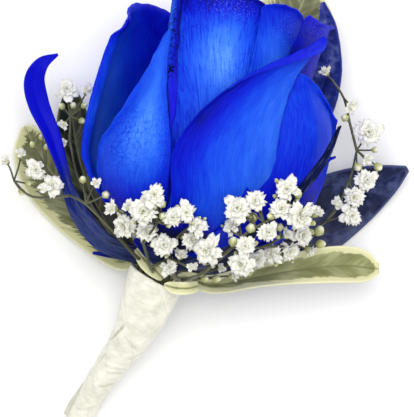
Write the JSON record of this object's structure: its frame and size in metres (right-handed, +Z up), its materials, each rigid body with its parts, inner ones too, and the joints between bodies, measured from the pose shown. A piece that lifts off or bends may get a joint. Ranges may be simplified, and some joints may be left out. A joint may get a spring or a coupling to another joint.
{
  "type": "rose corsage",
  "caption": "Corsage lying on its back: a blue-dyed rose with baby's breath, variegated and dyed backing leaves, and stems wrapped in white floral tape.",
  "frame": {"origin": "on the flat underside of the backing leaf that the bloom rests on, level with the surface", "axes": "+Z up from the surface that the corsage lies on, +Y from the taped stem towards the top of the bloom, +X to the bloom's right seen from above"},
  "size_m": [0.1004, 0.1207, 0.0564],
  "materials": {
    "petal": "soft matte petal, dyed blue with fine darker veins",
    "sepal": "fibrous, dyed blue, green on the stem",
    "tape": "waxed crepe paper, matte, with wrapped edges",
    "variegated_leaf": "grey-green leaf with a cream margin, waxy",
    "dyed_leaf": "leaf dyed navy, silvery where it catches the light",
    "dark_leaf": "dark olive leaf",
    "gypsophila": "white matte florets on grey-green stalks"
  },
  "bodies": {
    "root": {"rose_bloom": "petal", "rose_stem": "sepal", "tape_wrap": "tape", "leaf_backing": "variegated_leaf", "leaf_left": "variegated_leaf", "leaf_low_right": "variegated_leaf", "leaf_right_dyed": "dyed_leaf", "leaf_top_dyed": "dyed_leaf", "leaf_inner_left": "dark_leaf", "gypsophila_middle_left": "gypsophila", "gypsophila_middle_right": "gypsophila", "gypsophila_left": "gypsophila", "gypsophila_top_left": "gypsophila", "gypsophila_right": "gypsophila"}
  },
  "joints": []
}
